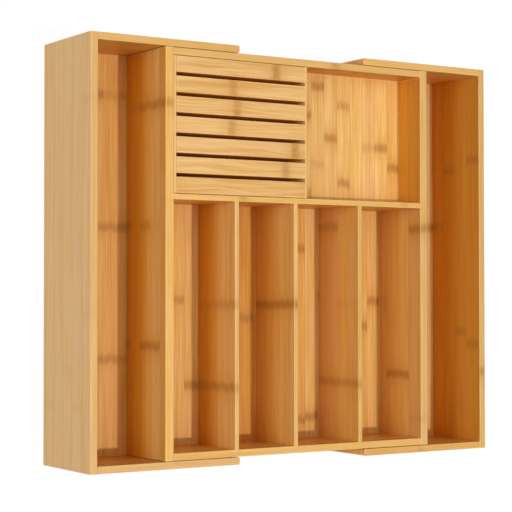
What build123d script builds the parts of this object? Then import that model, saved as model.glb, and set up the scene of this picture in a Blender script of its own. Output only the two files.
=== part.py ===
from build123d import *
import os

# An expandable bamboo drawer organizer: a centre tray with a knife block and four long bays,
# between two wings that slide in and out along X.
# Frame: X across the drawer, Y from its front (-) to its back (+), Z up, out of the open top.
# The origin is the middle of the footprint, on the surface that the organizer stands on.
# All sizes are in millimetres, and the wings are drawn out at their rest position.

# ---- overall sizes ----
TRAY_LENGTH = 430.0         # Y, over the wings' end boards
TRAY_HEIGHT = 105.0         # Z, from the base to the common rim
CENTRE_WIDTH = 333.0        # X, over the centre tray's side walls
WING_BAY_WIDTH = 75.5       # X, inside a wing at rest, from centre tray to side board

# ---- board thicknesses ----
WING_SIDE_T = 8.0
WING_END_T = 7.5
WING_FLOOR_T = 5.0
SIDE_WALL_T = 9.5
END_WALL_T = 7.5
FLOOR_T = 5.0
CROSS_DIVIDER_T = 6.0
LONG_DIVIDER_T = 5.0
RAISED_FLOOR_T = 5.0

# ---- layout of the centre tray ----
KNIFE_BAY_LENGTH = 139.5    # Y, from the back end wall to the cross divider
HANDLE_BAY_DEPTH = 38.0     # Z, from the rim down to the raised floor
LONG_BAY_WIDTHS = (72.0, 68.0, 78.5)   # X, from the left; the last bay takes what is left
CLEAT_SIZE = 8.0            # square section of the strips under the raised floor

# ---- floor panels, from the boards' lower edges up to the panel ----
WING_FLOOR_RISE = 17.0
CENTRE_FLOOR_RISE = 3.0

# ---- joints between boards ----
FLOOR_GROOVE = 4.0          # how far a floor panel is let into the boards around it
SIDE_DADO = 2.0             # cross divider into the side walls
END_DADO = 2.0              # long dividers into the front end wall
CROSS_DADO = 1.5            # long dividers into the cross divider

# ---- knife block ----
BLOCK_LENGTH = 161.5        # X
BLOCK_BASE_T = 6.0
SLAT_COUNT = 7
SLOT_WIDTH = 3.5            # Y, the blade slots between the slats
END_STRIP_T = 2.5           # X, closes the slots at both ends of the block

# ---- runners that guide and stop the wings ----
RUNNER_LENGTH = 20.0        # X
RUNNER_HEIGHT = 6.0         # Z
RUNNER_INSET = 3.0          # let into the wing's end board
RUNNER_REACH = 3.5          # stands out of the end board towards the centre tray
RUNNER_SETBACK = 3.0        # from the end board's free end
TRAVEL_OUT = 12.0           # how far a wing can still be drawn out from rest

# ---- clearances ----
END_GAP = 0.5               # wing end boards to the centre tray's end walls
LIFT_GAP = 0.5              # wing floors to the underside of the centre tray
CLOSED_GAP = 0.5            # wing side board to the centre tray when pushed in
MEETING_GAP = 8.0           # between the two wings' free ends when both are pushed in
BLOCK_GAP = 0.4             # knife block to the walls around it
RUNNER_GAP = 0.5            # runner to its groove, on every side

# ---- rounded edges ----
RIM_R = 0.8
FREE_END_R = 2.0
SLAT_R = 0.8

# ---- derived places: Z ----
rim_z = TRAY_HEIGHT
wing_floor_top_z = WING_FLOOR_RISE + WING_FLOOR_T
centre_base_z = wing_floor_top_z + LIFT_GAP
floor_base_z = centre_base_z + CENTRE_FLOOR_RISE
floor_top_z = floor_base_z + FLOOR_T
raised_top_z = rim_z - HANDLE_BAY_DEPTH
raised_base_z = raised_top_z - RAISED_FLOOR_T
cleat_base_z = raised_base_z - CLEAT_SIZE
runner_z = (centre_base_z + rim_z) / 2

# ---- derived places: Y, all mirrored about Y = 0 except the cross divider ----
wing_outer_y = TRAY_LENGTH / 2
wing_inner_y = wing_outer_y - WING_END_T
centre_outer_y = wing_inner_y - END_GAP
centre_inner_y = centre_outer_y - END_WALL_T
cross_back_y = centre_inner_y - KNIFE_BAY_LENGTH
cross_front_y = cross_back_y - CROSS_DIVIDER_T

# ---- derived places: X, as distances from the middle ----
centre_outer_x = CENTRE_WIDTH / 2
centre_inner_x = centre_outer_x - SIDE_WALL_T
wing_inner_x = centre_outer_x + WING_BAY_WIDTH
wing_outer_x = wing_inner_x + WING_SIDE_T
travel_in = WING_BAY_WIDTH - CLOSED_GAP
free_end_x = travel_in + MEETING_GAP / 2
runner_inner_x = free_end_x + RUNNER_SETBACK
runner_outer_x = runner_inner_x + RUNNER_LENGTH
groove_inner_x = runner_inner_x - travel_in - RUNNER_GAP
groove_outer_x = runner_outer_x + TRAVEL_OUT + RUNNER_GAP
groove_bottom_y = wing_inner_y - RUNNER_REACH - RUNNER_GAP

# ---- derived places: knife block ----
block_left_x = -centre_inner_x + BLOCK_GAP
block_right_x = block_left_x + BLOCK_LENGTH
block_front_y = cross_back_y + BLOCK_GAP
block_back_y = centre_inner_y - BLOCK_GAP
slat_width = (block_back_y - block_front_y - (SLAT_COUNT - 1) * SLOT_WIDTH) / SLAT_COUNT
slat_base_z = raised_top_z + BLOCK_BASE_T


def span_box(x, y, z, mode=Mode.ADD):
    """Add or cut a square-cornered board. x, y and z are its limits, in either order."""
    with BuildSketch(Plane.XY.offset(min(z))) as outline:
        with Locations(((x[0] + x[1]) / 2, (y[0] + y[1]) / 2)):
            Rectangle(abs(x[1] - x[0]), abs(y[1] - y[0]))
    extrude(outline.sketch, amount=abs(z[1] - z[0]), mode=mode)


def ease_rim(part, axis, radius):
    """Round a board's top edges that run along one axis."""
    fillet(part.edges().filter_by(axis).group_by(Axis.Z)[-1], radius)


def finish(part, name):
    """Label a finished piece and write its file."""
    part.label = name
    export_step(part, f"parts/{name}.step")


os.makedirs("parts", exist_ok=True)

# =============================== centre tray ===============================

centre_floor_x = centre_inner_x + FLOOR_GROOVE
centre_floor_y = centre_inner_y + FLOOR_GROOVE
centre_floor_limits = (
    (-centre_floor_x, centre_floor_x),
    (-centre_floor_y, centre_floor_y),
    (floor_base_z, floor_top_z),
)

# Side walls run the full length of the centre tray, over the ends of the end walls.
for side, sign in (("left", -1), ("right", 1)):
    with BuildPart() as side_wall:
        span_box(
            (sign * centre_inner_x, sign * centre_outer_x),
            (-centre_outer_y, centre_outer_y),
            (centre_base_z, rim_z),
        )
        ease_rim(side_wall, Axis.Y, RIM_R)
        span_box(*centre_floor_limits, mode=Mode.SUBTRACT)
        span_box(
            (0, sign * (centre_inner_x + SIDE_DADO)),
            (cross_front_y, cross_back_y),
            (floor_top_z, rim_z),
            mode=Mode.SUBTRACT,
        )
    finish(side_wall.part, f"centre_side_wall_{side}")

# Left edges of the long dividers, from the left side wall.
divider_left_edges = []
next_left_x = -centre_inner_x
for bay_width in LONG_BAY_WIDTHS:
    divider_left_edges.append(next_left_x + bay_width)
    next_left_x = divider_left_edges[-1] + LONG_DIVIDER_T

# End walls stand between the side walls. Each has two blind grooves in its outer face, one for
# each wing's runner, and the front one also holds the long dividers' front ends.
for end, sign in (("back", 1), ("front", -1)):
    with BuildPart() as end_wall:
        span_box(
            (-centre_inner_x, centre_inner_x),
            (sign * centre_inner_y, sign * centre_outer_y),
            (centre_base_z, rim_z),
        )
        ease_rim(end_wall, Axis.X, RIM_R)
        span_box(*centre_floor_limits, mode=Mode.SUBTRACT)
        for wing_sign in (-1, 1):
            span_box(
                (wing_sign * groove_inner_x, wing_sign * groove_outer_x),
                (sign * groove_bottom_y, sign * wing_outer_y),
                (
                    runner_z - RUNNER_HEIGHT / 2 - RUNNER_GAP,
                    runner_z + RUNNER_HEIGHT / 2 + RUNNER_GAP,
                ),
                mode=Mode.SUBTRACT,
            )
        if end == "front":
            for left_x in divider_left_edges:
                span_box(
                    (left_x, left_x + LONG_DIVIDER_T),
                    (0, -(centre_inner_y + END_DADO)),
                    (floor_top_z, rim_z),
                    mode=Mode.SUBTRACT,
                )
    finish(end_wall.part, f"centre_end_wall_{end}")

with BuildPart() as centre_floor:
    span_box(*centre_floor_limits)
finish(centre_floor.part, "centre_floor")

# The cross divider parts the knife bay from the long bays, and holds the dividers' back ends.
with BuildPart() as cross_divider:
    span_box(
        (-(centre_inner_x + SIDE_DADO), centre_inner_x + SIDE_DADO),
        (cross_front_y, cross_back_y),
        (floor_top_z, rim_z),
    )
    ease_rim(cross_divider, Axis.X, RIM_R)
    for left_x in divider_left_edges:
        span_box(
            (left_x, left_x + LONG_DIVIDER_T),
            (cross_front_y, cross_front_y + CROSS_DADO),
            (floor_top_z, rim_z),
            mode=Mode.SUBTRACT,
        )
finish(cross_divider.part, "cross_divider")

for number, left_x in enumerate(divider_left_edges, start=1):
    with BuildPart() as long_divider:
        span_box(
            (left_x, left_x + LONG_DIVIDER_T),
            (-(centre_inner_y + END_DADO), cross_front_y + CROSS_DADO),
            (floor_top_z, rim_z),
        )
        ease_rim(long_divider, Axis.Y, RIM_R)
    finish(long_divider.part, f"long_divider_{number}")

# The knife and handle bay has its own raised floor, carried by a cleat along each of its walls.
with BuildPart() as raised_floor:
    span_box(
        (-centre_inner_x, centre_inner_x),
        (cross_back_y, centre_inner_y),
        (raised_base_z, raised_top_z),
    )
finish(raised_floor.part, "raised_floor")

cleat_limits = {
    "back": ((-centre_inner_x, centre_inner_x), (centre_inner_y - CLEAT_SIZE, centre_inner_y)),
    "front": ((-centre_inner_x, centre_inner_x), (cross_back_y, cross_back_y + CLEAT_SIZE)),
    "left": (
        (-centre_inner_x, -centre_inner_x + CLEAT_SIZE),
        (cross_back_y + CLEAT_SIZE, centre_inner_y - CLEAT_SIZE),
    ),
    "right": (
        (centre_inner_x - CLEAT_SIZE, centre_inner_x),
        (cross_back_y + CLEAT_SIZE, centre_inner_y - CLEAT_SIZE),
    ),
}
for place, (x_limits, y_limits) in cleat_limits.items():
    with BuildPart() as cleat:
        span_box(x_limits, y_limits, (cleat_base_z, raised_base_z))
    finish(cleat.part, f"floor_cleat_{place}")

# ================================= wings ==================================

for side, sign in (("left", -1), ("right", 1)):
    wing_floor_limits = (
        (sign * free_end_x, sign * (wing_inner_x + FLOOR_GROOVE)),
        (-(wing_inner_y + FLOOR_GROOVE), wing_inner_y + FLOOR_GROOVE),
        (WING_FLOOR_RISE, wing_floor_top_z),
    )

    with BuildPart() as side_board:
        span_box(
            (sign * wing_inner_x, sign * wing_outer_x),
            (-wing_outer_y, wing_outer_y),
            (0, rim_z),
        )
        ease_rim(side_board, Axis.Y, RIM_R)
        span_box(*wing_floor_limits, mode=Mode.SUBTRACT)
    finish(side_board.part, f"{side}_wing_side_board")

    with BuildPart() as wing_floor:
        span_box(*wing_floor_limits)
    finish(wing_floor.part, f"{side}_wing_floor")

    for end, end_sign in (("back", 1), ("front", -1)):
        runner_limits = (
            (sign * runner_inner_x, sign * runner_outer_x),
            (end_sign * (wing_inner_y - RUNNER_REACH), end_sign * (wing_inner_y + RUNNER_INSET)),
            (runner_z - RUNNER_HEIGHT / 2, runner_z + RUNNER_HEIGHT / 2),
        )

        # An end board butts against the side board's inner face, and its free end is rounded.
        with BuildPart() as end_board:
            span_box(
                (sign * free_end_x, sign * wing_inner_x),
                (end_sign * wing_inner_y, end_sign * wing_outer_y),
                (0, rim_z),
            )
            free_edges = end_board.edges().filter_by(Axis.Z).sort_by(Axis.X)
            fillet(free_edges[:2] if sign > 0 else free_edges[-2:], FREE_END_R)
            ease_rim(end_board, Axis.X, RIM_R)
            span_box(*wing_floor_limits, mode=Mode.SUBTRACT)
            span_box(*runner_limits, mode=Mode.SUBTRACT)
        finish(end_board.part, f"{side}_wing_end_board_{end}")

        with BuildPart() as runner:
            span_box(*runner_limits)
        finish(runner.part, f"{side}_wing_runner_{end}")

# ============================== knife block ===============================

with BuildPart() as block_base:
    span_box(
        (block_left_x, block_right_x),
        (block_front_y, block_back_y),
        (raised_top_z, slat_base_z),
    )
finish(block_base.part, "knife_block_base")

for end, strip_left_x in (("tip", block_left_x), ("handle", block_right_x - END_STRIP_T)):
    with BuildPart() as end_strip:
        span_box(
            (strip_left_x, strip_left_x + END_STRIP_T),
            (block_front_y, block_back_y),
            (slat_base_z, rim_z),
        )
        ease_rim(end_strip, Axis.Y, RIM_R)
    finish(end_strip.part, f"knife_block_{end}_strip")

# Slats are numbered from the back of the drawer to the front, and butt against both end strips.
for number in range(1, SLAT_COUNT + 1):
    slat_back_y = block_back_y - (number - 1) * (slat_width + SLOT_WIDTH)
    with BuildPart() as slat:
        span_box(
            (block_left_x + END_STRIP_T, block_right_x - END_STRIP_T),
            (slat_back_y - slat_width, slat_back_y),
            (slat_base_z, rim_z),
        )
        ease_rim(slat, Axis.X, SLAT_R)
    finish(slat.part, f"knife_block_slat_{number}")
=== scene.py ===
"""Looks of an expandable bamboo drawer organizer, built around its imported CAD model.

Lengths are in metres, in the frame of the CAD model: +X across the drawer, +Y to its back, +Z up.
Angles are in degrees, and the camera's lens and sensor in millimetres.
"""

import math

import bpy
from mathutils import Matrix, Vector


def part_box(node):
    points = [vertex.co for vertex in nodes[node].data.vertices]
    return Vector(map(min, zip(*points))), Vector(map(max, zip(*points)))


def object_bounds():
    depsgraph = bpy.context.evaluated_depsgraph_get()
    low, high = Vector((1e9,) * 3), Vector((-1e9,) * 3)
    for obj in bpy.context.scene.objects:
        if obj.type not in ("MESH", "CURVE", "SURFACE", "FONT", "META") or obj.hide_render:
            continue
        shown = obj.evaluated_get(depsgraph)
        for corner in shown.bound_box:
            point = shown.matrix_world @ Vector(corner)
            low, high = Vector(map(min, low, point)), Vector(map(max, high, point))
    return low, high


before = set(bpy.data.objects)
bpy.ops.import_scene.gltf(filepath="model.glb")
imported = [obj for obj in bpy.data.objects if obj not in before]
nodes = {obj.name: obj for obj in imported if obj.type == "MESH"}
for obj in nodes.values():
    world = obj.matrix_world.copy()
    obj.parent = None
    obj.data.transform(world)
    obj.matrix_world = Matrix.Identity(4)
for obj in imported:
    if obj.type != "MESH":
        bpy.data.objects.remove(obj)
cad_low, cad_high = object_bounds()

# ---------------------------------------------------------------- camera
CAMERA_PLACE = (-0.9418, -0.0421, 1.4745)
CAMERA_YAW = 32.79
CAMERA_PITCH = -1.43
CAMERA_ROLL = 0.04
CAMERA_LENS = 111.0
SENSOR_WIDTH = 36.0

# ---------------------------------------------------------------- light, sky and studio floor
LAMP_COLOUR = (1.0, 0.985, 0.96)
KEY_TILT_X = 5.2
KEY_TILT_Y = -7.6
KEY_DISTANCE = 6.0
KEY_SIZE = 0.20
KEY_POWER = 125.0
FILL_ELEVATION = 32.0
FILL_DISTANCE = 3.0
FILL_SIZE = 1.2
FILL_POWER = 26.0

# The sky's strength goes from rim to top as a ray's rise, 0 for level and 1 for straight up, goes
# from low to high.
SKY_COLOUR = (0.97, 0.985, 1.0)
SKY_TOP = 0.98
SKY_RIM = 0.12
SKY_LOW = 0.45
SKY_HIGH = 0.90

FLOOR_COLOUR = (0.10, 0.10, 0.10)
FLOOR_ROUGHNESS = 0.9
FLOOR_GLOW = 0.92
FLOOR_SIZE = 14.0
FLOOR_DROP = 0.0004

# ---------------------------------------------------------------- bamboo's colours, linear
STRAW = (0.900, 0.545, 0.165)
HONEY = (0.800, 0.420, 0.080)
TAN = (0.850, 0.485, 0.185)
AMBER = (0.650, 0.290, 0.035)
# Multiplies in the amber tone and the painted shade of sides, feet and zones.
AMBER_AND_SHADE_TINT = (0.820, 0.560, 0.030)
# Painted shade on the faces on either side of a knife slot.
SLOT_SHADE_BROWN = (0.620, 0.170, 0.008)
NODE_BROWN = (0.430, 0.160, 0.016)
GLUE_BROWN = (0.420, 0.180, 0.040)
# Tint of pale grain streaks, and of worn arrises with a painted highlight.
PALE_GRAIN_WEAR_AND_HIGHLIGHT = (0.950, 0.620, 0.240)
PORE_BROWN = (0.330, 0.130, 0.025)

# ---------------------------------------------------------------- bamboo's figure
# Repeats per metre along the grain and across it, then the detail and roughness of the noise.
BENDS = (16.0, 55.0, 1.0, 0.5)
BROAD_BANDS = (5.0, 130.0, 2.0, 0.5)
STREAKS = (14.0, 620.0, 3.0, 0.6)
FIBRES = (50.0, 2600.0, 2.0, 0.6)
CLOUDS = (16.0, 34.0, 2.0, 0.5)
NODE_BENDS = (2.0, 110.0, 1.0, 0.5)
NODE_DASHES = (70.0, 420.0, 2.0, 0.6)
PORES = (300.0, 1500.0, 1.0, 0.5)

# Distances at which a mark begins to fade and is gone, and its strength.
NODE_SCAR = (0.0002, 0.0016, 0.62)
NODE_PATCH = (0.0010, 0.0080, 1.0)
NODE_HALO = (0.0020, 0.0240, 1.0)
GLUE_LINE = (0.00010, 0.00045, 0.45)
# The worn arris is partly wear and partly a painted highlight.
WORN_AND_HIGHLIT_ARRIS = (0.0002, 0.0014, 0.40)
NODE_WOBBLE = 0.006
ARRIS_WOBBLE = 0.0016

# How much of a face's normal lies along an axis when the face begins to count as looking along
# that axis, and when it fully does.
LOOKS_UP = (0.5, 0.9)
LOOKS_ALONG = (0.60, 0.80)
LOOKS_ACROSS = (0.7, 0.9)

# How much the seed and a strip's random values move its figure, so that no two look alike.
STRIP_SHIFT = 0.377
CULM_SHIFT_ALONG = 9.0
CULM_SHIFT_ACROSS = 0.71
CULM_SHIFT_DEEP = 3.0
NODE_SHIFT = 7.0
SEED_START = 1.0
SEED_STEP = 1.37

# How far the wood turns amber around the culm nodes and at its cut ends.
HALO_STRENGTH = 0.42
END_STRENGTH = 0.30

LACQUER_ROUGHNESS = 0.36
BUMP_STRENGTH = 0.35
BUMP_HEIGHT = 0.0005
LACQUER_IOR = 1.46
COAT_WEIGHT = 0.06
COAT_ROUGHNESS = 0.28

# Heights between which a board's amber and painted shade turn from those of its foot to those of its rim.
FOOT_LOW = 0.045
FOOT_HIGH = 0.085
ZONE_SOFTNESS = 0.0005

X_AXIS, Y_AXIS, Z_AXIS = 0, 1, 2

# ---------------------------------------------------------------- tones
USUAL_TONE = {
    "strip": 0.0205,  # width of the strips that the board is laminated from
    "pitch": 0.21,  # distance between the nodes of a culm
    "knot": None,  # place of a culm node along the grain, which otherwise differs by strip
    "marks": 1.0,  # strength of the culm nodes
    "sure": 0.0,  # how strongly every culm node shows at least, before marks
    "wave": 0.0015,  # how far the grain wanders
    "streaks": 0.6,  # contrast of the grain
    "pale": 0.0,  # how far the board turns to straw
    "pink": 0.0,  # how far the board turns to tan
    "side_amber_and_shade": 0.0,  # how amber the sides are at the rim: amber tone and painted shade
    "painted_foot_shade": 0.0,  # how amber the sides are at the foot, where that is more: painted shade near the floor
    "top": 0.0,  # the part of that amber and painted shade that the upward faces take
    "painted_shade_zone": None,  # an axis, the ends of a stretch of it, and how much painted shade sides and floors get there
    "shade": 1.0,  # brightness of the board; below 1 it is painted shade
    "rim": 0.92,  # brightness of the upward faces, times shade; below 1 it is painted shade on them
    "slot_shade": 0.0,  # how dark the faces on either side of a slot are, as painted shade
}

FLOOR_TONE = {"strip": 0.0172, "pitch": 0.19, "rim": 1.0, "streaks": 1.0}
# End walls: amber and painted shade on their sides, most at the foot.
END_TONE = {"marks": 0.6, "side_amber_and_shade": 0.4, "painted_foot_shade": 0.8}
BLOCK_BASE_TONE = {"strip": 0.020, "side_amber_and_shade": 0.6, "top": 1.0}
BLOCK_STRIP_TONE = {"strip": 0.020, "marks": 0.3, "pink": 0.4}
BATTEN_TONE = {"strip": 0.012, "marks": 0.6}
# Slats: the faces in the slots are darkened as painted shade.
SLAT_TONE = {
    "strip": 0.5, "pitch": 0.17, "marks": 0.9, "sure": 0.75, "wave": 0.006, "streaks": 1.1,
    "pale": 0.2, "pink": 0.5, "slot_shade": 0.8,
}
SLAT_KNOTS = (-0.034, -0.087, -0.082, -0.089, -0.011, -0.023, 0.009)

# What sets single boards apart from the rest of their kind.
BOARD_TONES = {
    # The outer face of the left side board is darkened as painted shade; its rim is brought back up.
    "left_wing_side_board": {"marks": 0.12, "pink": 0.45, "shade": 0.76, "rim": 1.13, "streaks": 0.5},
    # The right side board's inner face gets painted shade, most at its foot.
    "right_wing_side_board": {"marks": 0.7, "side_amber_and_shade": 0.75, "painted_foot_shade": 1.0, "rim": 0.80},
    "left_wing_end_board_front": {"rim": 0.86},
    "left_wing_end_board_back": {"rim": 0.88},
    "left_wing_floor": {
        "side_amber_and_shade": 0.45, "pink": 0.3, "top": 1.0, "pitch": 0.137, "knot": 0.029, "sure": 0.5,
    },
    "right_wing_floor": {"side_amber_and_shade": 0.1, "top": 1.0},
    # The centre's left wall gets painted shade at its foot.
    "centre_side_wall_left": {"pitch": 0.122, "knot": 0.029, "marks": 0.9, "painted_foot_shade": 1.0, "rim": 1.0},
    # The centre's right wall gets painted shade along the handle bay.
    "centre_side_wall_right": {
        "strip": 0.041, "marks": 0.9, "side_amber_and_shade": 0.15, "painted_foot_shade": 0.35, "rim": 0.87,
        "painted_shade_zone": (Y_AXIS, 0.057, 0.1985, 0.85),
    },
    # The back end wall's inner face gets painted shade.
    "centre_end_wall_back": {"side_amber_and_shade": 0.8, "painted_foot_shade": 0.8},
    # Painted shadow on the floor of the second long bay.
    "centre_floor": {"painted_shade_zone": (X_AXIS, -0.0503, -0.0095, 0.7)},
    # Painted shadow of the knife block along the handle bay floor's left edge.
    "raised_floor": {"pale": 0.35, "pitch": 0.085, "rim": 0.98, "painted_shade_zone": (X_AXIS, 0.0022, 0.0194, 0.6)},
    "cross_divider": {"rim": 0.96},
    # The long dividers get painted shade at their feet.
    "long_divider_1": {
        "strip": 0.041, "pitch": 0.085, "knot": -0.052, "marks": 0.8, "painted_foot_shade": 1.0, "rim": 0.90,
    },
    "long_divider_2": {"strip": 0.083, "knot": -0.052, "sure": 1.0, "painted_foot_shade": 0.4, "rim": 0.87},
    "long_divider_3": {
        "strip": 0.041, "pitch": 0.085, "knot": -0.052, "marks": 0.7, "painted_foot_shade": 0.25, "rim": 0.86,
    },
}


# ---------------------------------------------------------------- node tree helper
class Graph:
    """A short way to write a node tree: most methods add one node and return its output."""

    def __init__(self, tree):
        self.tree = tree
        tree.nodes.clear()

    def add(self, kind, inputs=None, **settings):
        node = self.tree.nodes.new(kind)
        for name, value in settings.items():
            setattr(node, name, value)
        for socket, value in (inputs or {}).items():
            self.put(node.inputs[socket], value)
        return node

    def put(self, socket, value):
        if isinstance(value, bpy.types.NodeSocket):
            self.tree.links.new(value, socket)
        else:
            socket.default_value = value

    def math(self, operation, a, b=0.0):
        return self.add("ShaderNodeMath", {0: a, 1: b}, operation=operation).outputs[0]

    def plus(self, a, b):
        return self.math("ADD", a, b)

    def minus(self, a, b):
        return self.math("SUBTRACT", a, b)

    def times(self, a, b):
        return self.math("MULTIPLY", a, b)

    def over(self, a, b):
        return self.math("DIVIDE", a, b)

    def size(self, a):
        return self.math("ABSOLUTE", a)

    def most(self, a, b):
        return self.math("MAXIMUM", a, b)

    def least(self, a, b):
        return self.math("MINIMUM", a, b)

    def total(self, start, *parts):
        """The start value plus each part's value times its weight."""
        for value, weight in parts:
            start = self.plus(start, self.times(value, weight))
        return start

    def split(self, vector):
        return self.add("ShaderNodeSeparateXYZ", {0: vector}).outputs

    def join(self, x, y, z):
        return self.add("ShaderNodeCombineXYZ", {0: x, 1: y, 2: z}).outputs[0]

    def vector(self, operation, a, b):
        return self.add("ShaderNodeVectorMath", {0: a, 1: b}, operation=operation).outputs[0]

    def scale(self, vector, factor):
        words = {0: vector, "Scale": factor}
        return self.add("ShaderNodeVectorMath", words, operation="SCALE").outputs[0]

    def noise(self, place, figure):
        """Noise stretched along the grain, by one of the figures above."""
        along, across, detail, roughness = figure
        stretched = self.vector("MULTIPLY", place, (along, across, across))
        words = {"Vector": stretched, "Scale": 1.0, "Detail": detail, "Roughness": roughness}
        return self.add("ShaderNodeTexNoise", words, noise_dimensions="3D").outputs[0]

    def random(self, vector):
        return self.add("ShaderNodeTexWhiteNoise", {"Vector": vector}, noise_dimensions="3D").outputs

    def ramp(self, value, low, high, start=0.0, end=1.0):
        """Goes smoothly from start to end as the value goes from low to high."""
        words = {"Value": value, "From Min": low, "From Max": high, "To Min": start, "To Max": end}
        return self.add("ShaderNodeMapRange", words, interpolation_type="SMOOTHSTEP").outputs[0]

    def fade(self, distance, mark):
        """A mark that has its strength up to one distance and is gone at the next."""
        near, far, strength = mark
        return self.ramp(distance, near, far, strength, 0.0)

    def blend(self, factor, a, b, mode="MIX"):
        """Mixes two colours; sockets 0, 6 and 7 and output 2 are the mix node's colour ones."""
        node = self.add("ShaderNodeMix", data_type="RGBA", blend_type=mode)
        self.put(node.inputs[0], factor)
        self.put(node.inputs[6], a if isinstance(a, bpy.types.NodeSocket) else (*a, 1.0))
        self.put(node.inputs[7], b if isinstance(b, bpy.types.NodeSocket) else (*b, 1.0))
        return node.outputs[2]


# ---------------------------------------------------------------- laminated bamboo
# The group works in board coordinates: x along the grain, y across the strips, z through them.
GROUP_VECTORS = ("Place", "Low", "High")
GROUP_VALUES = (
    "End face", "Seed", "Strip width", "Node pitch", "Node place", "Node scatter", "Node strength",
    "Node sureness", "Wave", "Grain strength", "Paleness", "Pinkness", "Amber and shade", "Shade", "Slot shade",
)


def open_group(tree):
    interface = tree.interface
    for name in GROUP_VECTORS:
        interface.new_socket(name=name, in_out="INPUT", socket_type="NodeSocketVector")
    for name in GROUP_VALUES:
        interface.new_socket(name=name, in_out="INPUT", socket_type="NodeSocketFloat")
    interface.new_socket(name="Colour", in_out="OUTPUT", socket_type="NodeSocketColor")
    for name in ("Roughness", "Height"):
        interface.new_socket(name=name, in_out="OUTPUT", socket_type="NodeSocketFloat")


def strip_layout(g, given, across):
    """A place's strip: its number, how far across it the place is, and four random values."""
    strips = g.plus(g.over(across, given["Strip width"]), g.times(given["Seed"], STRIP_SHIFT))
    number = g.math("FLOOR", strips)
    chance = g.random(g.join(number, given["Seed"], 0.5))
    return number, g.math("FRACT", strips), (chance[0], *g.split(chance[1]))


def place_in_culm(g, given, picks):
    """Where in the bamboo a strip is cut from: another culm for each, with a wavy grain."""
    along = g.times(picks[1], CULM_SHIFT_ALONG)
    across = g.times(given["Seed"], CULM_SHIFT_ACROSS)
    deep = g.times(picks[2], CULM_SHIFT_DEEP)
    culm = g.vector("ADD", given["Place"], g.join(along, across, deep))
    bend = g.times(g.minus(g.noise(culm, BENDS), 0.5), given["Wave"])
    return g.vector("ADD", culm, g.join(0.0, bend, 0.0))


def grain_colour(g, given, culm, picks, streaks, fibres, clouds):
    """Colour of the strips, with their grain, multiplied by their amber tone and painted shade."""
    colour = g.blend(picks[0], HONEY, STRAW)
    colour = g.blend(g.ramp(picks[2], 0.55, 0.95, 0.0, 0.7), colour, TAN)
    colour = g.blend(given["Paleness"], colour, STRAW)
    colour = g.blend(given["Pinkness"], colour, TAN)
    for noise, low, high, strength, tint in (
        (g.noise(culm, BROAD_BANDS), 0.42, 0.70, 0.55, AMBER),
        (streaks, 0.50, 0.70, 0.55, AMBER),
        (fibres, 0.52, 0.80, 0.35, AMBER),
        (streaks, 0.50, 0.32, 0.60, PALE_GRAIN_WEAR_AND_HIGHLIGHT),
    ):
        shown = g.times(g.ramp(noise, low, high, 0.0, strength), given["Grain strength"])
        colour = g.blend(shown, colour, tint)
    colour = g.blend(g.ramp(clouds, 0.42, 0.70, 0.0, 0.35), colour, TAN)
    # Amber tone and painted shade multiply the colour.
    return g.blend(given["Amber and shade"], colour, AMBER_AND_SHADE_TINT, "MULTIPLY")


def culm_nodes(g, given, culm, along, number, picks):
    """Culm nodes: the brown of their dashes and scar, the scar's depth, and the halo around them."""
    phase = g.plus(g.over(g.minus(along, given["Node place"]), given["Node pitch"]), 0.5)
    phase = g.plus(phase, g.times(g.times(picks[3], NODE_SHIFT), given["Node scatter"]))
    local = g.times(g.minus(g.math("FRACT", phase), 0.5), given["Node pitch"])
    wobble = g.times(g.minus(g.noise(culm, NODE_BENDS), 0.5), NODE_WOBBLE)
    distance = g.size(g.plus(local, wobble))
    chance = g.random(g.join(number, g.math("FLOOR", phase), given["Seed"]))[0]
    by_chance = g.ramp(chance, 0.35, 0.75, 0.05, 1.0)
    there = g.most(by_chance, given["Node sureness"])
    there = g.times(there, given["Node strength"])
    dashes = g.ramp(g.noise(culm, NODE_DASHES), 0.36, 0.66)
    patch = g.times(g.fade(distance, NODE_PATCH), g.total(0.48, (dashes, 0.30)))
    scar = g.fade(distance, NODE_SCAR)
    marks = g.times(g.most(patch, scar), there)
    return marks, g.times(scar, there), g.times(g.fade(distance, NODE_HALO), there)


def edge_wear_and_highlight(g, given, clouds):
    """Worn arrises, partly wear and partly a painted highlight: the nearest edge is as far off as the
    middle one of the distances to the faces.
    """
    from_low = g.vector("SUBTRACT", given["Place"], given["Low"])
    from_high = g.vector("SUBTRACT", given["High"], given["Place"])
    inside = g.split(g.vector("MINIMUM", from_low, from_high))
    small = g.least(inside[0], inside[1])
    large = g.most(inside[0], inside[1])
    to_edge = g.most(small, g.least(large, inside[2]))
    ragged = g.total(to_edge, (g.minus(clouds, 0.5), ARRIS_WOBBLE))
    return g.fade(ragged, WORN_AND_HIGHLIT_ARRIS)


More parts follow.
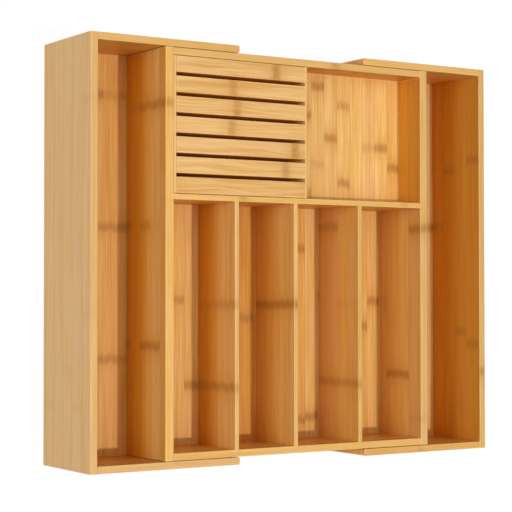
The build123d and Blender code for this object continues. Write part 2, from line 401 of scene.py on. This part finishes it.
def make_bamboo_group():
    tree = bpy.data.node_groups.new("laminated_bamboo", "ShaderNodeTree")
    open_group(tree)
    g = Graph(tree)
    given = g.add("NodeGroupInput").outputs
    along, across = g.split(given["Place"])[:2]
    number, in_strip, picks = strip_layout(g, given, across)
    culm = place_in_culm(g, given, picks)
    streaks = g.noise(culm, STREAKS)
    fibres = g.noise(culm, FIBRES)
    clouds = g.noise(culm, CLOUDS)
    pores = g.noise(culm, PORES)

    colour = grain_colour(g, given, culm, picks, streaks, fibres, clouds)
    marks, scar, halo = culm_nodes(g, given, culm, along, number, picks)
    colour = g.blend(g.times(halo, HALO_STRENGTH), colour, AMBER)
    colour = g.blend(marks, colour, NODE_BROWN)

    to_glue = g.times(g.least(in_strip, g.minus(1.0, in_strip)), given["Strip width"])
    glue = g.fade(to_glue, GLUE_LINE)
    colour = g.blend(glue, colour, GLUE_BROWN)

    # The cut ends show the ends of the fibre bundles.
    end_colour = g.blend(g.ramp(pores, 0.52, 0.62, 0.0, 0.75), colour, PORE_BROWN)
    end_colour = g.blend(END_STRENGTH, end_colour, AMBER)
    is_end = g.ramp(given["End face"], *LOOKS_ALONG)
    colour = g.blend(is_end, colour, end_colour)

    # Arrises turn pale: partly wear and partly a painted highlight.
    worn_and_highlit = edge_wear_and_highlight(g, given, clouds)
    colour = g.blend(worn_and_highlit, colour, PALE_GRAIN_WEAR_AND_HIGHLIGHT)
    # Painted shade on the faces on either side of a slot.
    colour = g.blend(given["Slot shade"], colour, SLOT_SHADE_BROWN)
    # Shade darkens the board and its upward faces as painted shade.
    colour = g.scale(colour, given["Shade"])

    roughness = g.total(LACQUER_ROUGHNESS, (streaks, 0.16), (marks, 0.12), (is_end, 0.20))
    roughness = g.total(roughness, (worn_and_highlit, -0.08))
    height = g.total(g.times(fibres, 0.35), (streaks, 0.50), (halo, 0.60), (scar, -1.0), (glue, -1.2))
    height = g.total(height, (g.times(is_end, pores), -0.8))
    g.add("NodeGroupOutput", {0: colour, 1: roughness, 2: height})
    return tree


BAMBOO = make_bamboo_group()


def amber_and_shade_of(g, tone, place, by_facing, is_floor):
    """How amber a board is, amber tone and painted shade: more at its foot as painted shade, less on its
    upward faces, and painted shade in its zone.
    """
    # Painted shade: the sides darken towards the foot.
    painted_foot_shade = max(tone["side_amber_and_shade"], tone["painted_foot_shade"])
    amber_and_shade = g.ramp(place[Z_AXIS], FOOT_LOW, FOOT_HIGH, painted_foot_shade, tone["side_amber_and_shade"])
    amber_and_shade = g.times(amber_and_shade, by_facing(1.0, tone["top"]))
    # The zone paints shade on a stretch of the board.
    if tone["painted_shade_zone"]:
        axis, start, end, strength = tone["painted_shade_zone"]
        half = (end - start) / 2
        from_middle = g.size(g.minus(place[axis], (start + end) / 2))
        inside = g.fade(from_middle, (half - ZONE_SOFTNESS, half, strength))
        inside = inside if is_floor else g.times(inside, by_facing(1.0, 0.0))
        amber_and_shade = g.most(amber_and_shade, inside)
    return amber_and_shade


def bamboo(node, grain, across, seed, tone):
    """One board's material: the grain runs along one axis of the frame, the strips lie along another."""
    material = bpy.data.materials.new("bamboo_" + node)
    material.use_nodes = True
    g = Graph(material.node_tree)
    coordinates = g.add("ShaderNodeTexCoord").outputs
    place = g.split(coordinates["Object"])
    normal = g.split(coordinates["Normal"])

    def by_facing(sides, tops):
        return g.ramp(normal[Z_AXIS], *LOOKS_UP, sides, tops)

    low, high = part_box(node)
    order = (grain, across, 3 - grain - across)
    knot = tone["knot"]
    words = {
        "Place": g.join(*(place[axis] for axis in order)),
        "Low": [low[axis] for axis in order],
        "High": [high[axis] for axis in order],
        "End face": g.size(normal[grain]),
        "Seed": seed,
        "Strip width": tone["strip"],
        "Node pitch": tone["pitch"],
        "Node place": knot or 0.0,
        "Node scatter": 1.0 if knot is None else 0.0,
        "Node strength": tone["marks"],
        "Node sureness": tone["sure"],
        "Wave": tone["wave"],
        "Grain strength": tone["streaks"],
        "Paleness": tone["pale"],
        "Pinkness": tone["pink"],
        "Amber and shade": amber_and_shade_of(g, tone, place, by_facing, "floor" in node),
        # Painted shade on the board, its upward faces and its slot faces.
        "Shade": by_facing(tone["shade"], tone["shade"] * tone["rim"]),
        "Slot shade": g.ramp(g.size(normal[across]), *LOOKS_ACROSS, 0.0, tone["slot_shade"]),
    }
    pattern = g.add("ShaderNodeGroup", node_tree=BAMBOO)
    for socket, value in words.items():
        g.put(pattern.inputs[socket], value)
    relief = {"Strength": BUMP_STRENGTH, "Distance": BUMP_HEIGHT, "Height": pattern.outputs["Height"]}
    bump = g.add("ShaderNodeBump", relief)
    shader = g.add("ShaderNodeBsdfPrincipled")
    g.put(shader.inputs["Base Color"], pattern.outputs["Colour"])
    g.put(shader.inputs["Roughness"], pattern.outputs["Roughness"])
    g.put(shader.inputs["Normal"], bump.outputs[0])
    shader.inputs["IOR"].default_value = LACQUER_IOR
    shader.inputs["Coat Weight"].default_value = COAT_WEIGHT
    shader.inputs["Coat Roughness"].default_value = COAT_ROUGHNESS
    g.add("ShaderNodeOutputMaterial", {0: shader.outputs[0]})
    return material


def kind_of(node):
    """The axis that a piece's grain runs along, the one that its strips lie along, and its tone."""
    if node.startswith("knife_block_slat"):
        return X_AXIS, Y_AXIS, SLAT_TONE | {"knot": SLAT_KNOTS[int(node[-1]) - 1]}
    if node == "knife_block_base":
        return X_AXIS, Y_AXIS, BLOCK_BASE_TONE
    if node.endswith("_strip"):
        return Y_AXIS, Z_AXIS, BLOCK_STRIP_TONE
    if "runner" in node or node in ("floor_cleat_back", "floor_cleat_front"):
        return X_AXIS, Z_AXIS, BATTEN_TONE
    if "cleat" in node:
        return Y_AXIS, Z_AXIS, BATTEN_TONE
    if "floor" in node:
        return Y_AXIS, X_AXIS, FLOOR_TONE
    if "end_wall" in node or "end_board" in node or node == "cross_divider":
        return X_AXIS, Z_AXIS, END_TONE
    return Y_AXIS, Z_AXIS, {}


def dress_all():
    """Gives every CAD node its own bamboo, in all its material slots."""
    seed = SEED_START
    for node in sorted(nodes):
        seed += SEED_STEP
        grain, across, kind_tone = kind_of(node)
        tone = USUAL_TONE | kind_tone | BOARD_TONES.get(node, {})
        material = bamboo(node, grain, across, seed, tone)
        slots = nodes[node].data.materials
        for index in range(len(slots)):
            slots[index] = material
        if not slots:
            slots.append(material)


# ---------------------------------------------------------------- studio
def make_floor():
    """A plane that glows white, just below the organizer."""
    half = FLOOR_SIZE / 2
    corners = [(x, y, -FLOOR_DROP) for x, y in ((-half, -half), (half, -half), (half, half), (-half, half))]
    mesh = bpy.data.meshes.new("studio_floor")
    mesh.from_pydata(corners, [], [(0, 1, 2, 3)])
    floor = bpy.data.objects.new("studio_floor", mesh)
    bpy.context.scene.collection.objects.link(floor)
    material = bpy.data.materials.new("studio_floor")
    material.use_nodes = True
    g = Graph(material.node_tree)
    shader = g.add("ShaderNodeBsdfPrincipled")
    shader.inputs["Base Color"].default_value = (*FLOOR_COLOUR, 1.0)
    shader.inputs["Roughness"].default_value = FLOOR_ROUGHNESS
    shader.inputs["Specular IOR Level"].default_value = 0.0
    shader.inputs["Emission Color"].default_value = (1.0, 1.0, 1.0, 1.0)
    shader.inputs["Emission Strength"].default_value = FLOOR_GLOW
    g.add("ShaderNodeOutputMaterial", {0: shader.outputs[0]})
    mesh.materials.append(material)


def make_lamp(name, size, power, towards, distance):
    """A round lamp in the given direction from the middle of the organizer."""
    data = bpy.data.lights.new(name, "AREA")
    data.shape = "DISK"
    data.size = size
    data.energy = power
    data.color = LAMP_COLOUR
    lamp = bpy.data.objects.new(name, data)
    lamp.location = (cad_low + cad_high) / 2 + towards.normalized() * distance
    lamp.rotation_mode = "QUATERNION"
    lamp.rotation_quaternion = towards.to_track_quat("Z", "Y")
    bpy.context.scene.collection.objects.link(lamp)


def make_lamps():
    """A key lamp high overhead and a soft fill lamp from the left."""
    overhead = Vector((math.tan(math.radians(KEY_TILT_X)), math.tan(math.radians(KEY_TILT_Y)), 1.0))
    make_lamp("key_light", KEY_SIZE, KEY_POWER, overhead, KEY_DISTANCE)
    rise = math.radians(FILL_ELEVATION)
    from_left = Vector((-math.cos(rise), 0.0, math.sin(rise)))
    make_lamp("fill_light", FILL_SIZE, FILL_POWER, from_left, FILL_DISTANCE)


def make_sky():
    """A sky that is dim around the horizon and bright overhead."""
    world = bpy.data.worlds.new("studio_sky")
    bpy.context.scene.world = world
    world.use_nodes = True
    g = Graph(world.node_tree)
    upward = g.split(g.add("ShaderNodeTexCoord").outputs["Generated"])[Z_AXIS]
    strength = g.ramp(upward, SKY_LOW, SKY_HIGH, SKY_RIM, SKY_TOP)
    background = g.add("ShaderNodeBackground", {0: (*SKY_COLOUR, 1.0), 1: strength})
    g.add("ShaderNodeOutputWorld", {0: background.outputs[0]})


def make_camera():
    """A camera turned about its own upright, then level, then viewing axis."""
    data = bpy.data.cameras.new("camera")
    data.sensor_width = SENSOR_WIDTH
    data.lens = CAMERA_LENS
    camera = bpy.data.objects.new("camera", data)
    bpy.context.scene.collection.objects.link(camera)
    turn = Matrix.Rotation(math.radians(-CAMERA_YAW), 4, "Y")
    turn = turn @ Matrix.Rotation(math.radians(-CAMERA_PITCH), 4, "X")
    turn = turn @ Matrix.Rotation(math.radians(-CAMERA_ROLL), 4, "Z")
    camera.matrix_world = Matrix.Translation(CAMERA_PLACE) @ turn
    bpy.context.scene.camera = camera


dress_all()
make_floor()
make_lamps()
make_sky()
make_camera()
bpy.context.scene.view_settings.view_transform = "Standard"
